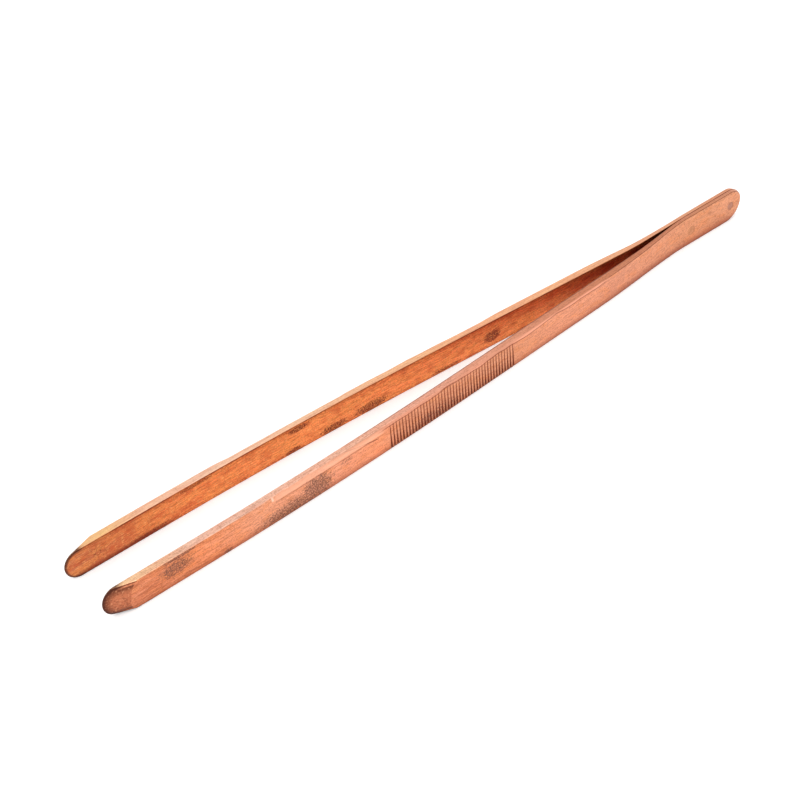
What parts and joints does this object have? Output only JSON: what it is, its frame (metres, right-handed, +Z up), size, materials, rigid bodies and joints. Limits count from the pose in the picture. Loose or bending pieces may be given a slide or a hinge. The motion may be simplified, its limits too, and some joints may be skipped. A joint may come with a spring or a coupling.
{
  "type": "crucible tongs",
  "caption": "Long spring tongs in tweezer form: flat bowed copper bars riveted together at a rounded heel, with serrated finger grips and round, bevelled jaw tips.",
  "frame": {"origin": "middle of the length and width, on the plane the tongs lie on", "axes": "+X from the riveted heel to the jaw tips, +Y towards the left arm, +Z up, across the bars' height"},
  "size_m": [0.23, 0.0214, 0.0096],
  "materials": {
    "copper_bar": "bare rolled copper, satin, lightly tarnished",
    "copper_rivet": "bare copper, hammered flush and sanded, dull"
  },
  "bodies": {
    "heel": {"left_arm_heel": "copper_bar", "right_arm_heel": "copper_bar", "rear_rivet": "copper_rivet", "front_rivet": "copper_rivet"},
    "left_arm": {"left_arm_spring": "copper_bar", "left_arm_grip": "copper_bar", "left_arm_jaw": "copper_bar"},
    "right_arm": {"right_arm_spring": "copper_bar", "right_arm_grip": "copper_bar", "right_arm_jaw": "copper_bar"}
  },
  "joints": [
    {"name": "left_arm_flex", "type": "hinge", "parent": "heel", "child": "left_arm", "pos_m": [-0.071, 0.00209, 0.00413], "axis": [0, 0, -1], "range_deg": [-1, 2.55], "stiffness_Nm_per_rad": 6.8},
    {"name": "right_arm_flex", "type": "hinge", "parent": "heel", "child": "right_arm", "pos_m": [-0.071, -0.00209, 0.00413], "axis": [0, 0, 1], "range_deg": [-1, 2.55], "stiffness_Nm_per_rad": 6.8}
  ]
}
